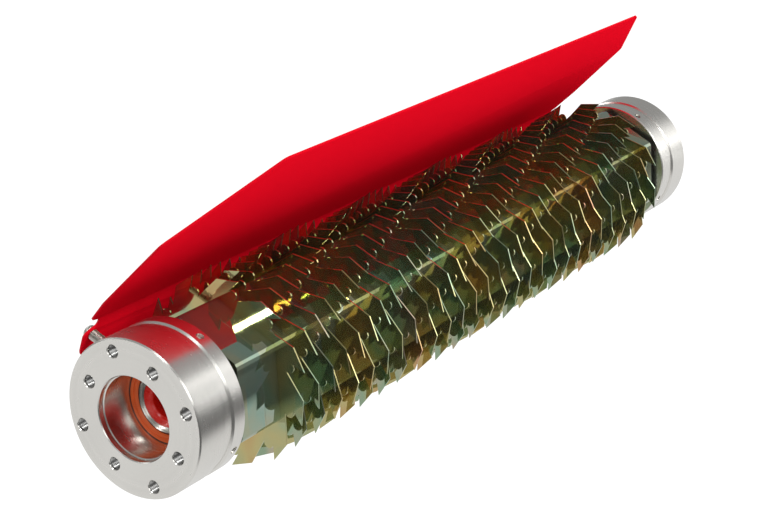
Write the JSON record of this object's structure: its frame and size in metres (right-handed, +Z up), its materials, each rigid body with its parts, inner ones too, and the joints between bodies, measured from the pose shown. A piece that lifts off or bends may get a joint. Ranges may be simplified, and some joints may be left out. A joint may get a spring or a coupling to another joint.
{
  "type": "verticutter reel cassette",
  "caption": "Verticutter reel cassette: a toothed blade rotor turning between two round bearing housings, with a bent sheet shield behind it.",
  "frame": {"origin": "centre of the left housing's outer face, on the reel's axis", "axes": "+X along the reel's axis to the right housing, +Z up, -Y the front, away from the shield"},
  "size_m": [0.649, 0.1338, 0.2055],
  "materials": {
    "housing_aluminium": "satin turned",
    "seal_orange": "satin",
    "bearing_steel": "ground",
    "journal_steel": "ground",
    "insert_red": "semi gloss",
    "shaft_steel": "drawn steel",
    "spacer_zinc": "yellow zinc, glossy",
    "blade_zinc": "yellow zinc, mirror gloss",
    "shield_red": "gloss",
    "post_steel": "zinc plated",
    "screw_steel": "zinc plated"
  },
  "bodies": {
    "root": {"left_housing": "housing_aluminium", "left_seal": "seal_orange", "left_bearing": "bearing_steel", "left_shield_post": "post_steel", "left_shield_screw": "screw_steel", "left_lock_screws": "screw_steel", "right_housing": "housing_aluminium", "right_seal": "seal_orange", "right_bearing": "bearing_steel", "right_shield_post": "post_steel", "right_shield_screw": "screw_steel", "right_lock_screws": "screw_steel", "shield": "shield_red"},
    "reel": {"left_journal": "journal_steel", "left_drive_insert": "insert_red", "right_journal": "journal_steel", "right_drive_insert": "insert_red", "hex_shaft": "shaft_steel", "blade_spacers": "spacer_zinc", "left_end_spacer": "spacer_zinc", "right_end_spacer": "spacer_zinc", "blades": "blade_zinc"}
  },
  "joints": [
    {"name": "reel_spin", "type": "hinge", "parent": "root", "child": "reel", "pos_m": [0.3245, 0, 0], "axis": [1, 0, 0], "continuous": true}
  ]
}
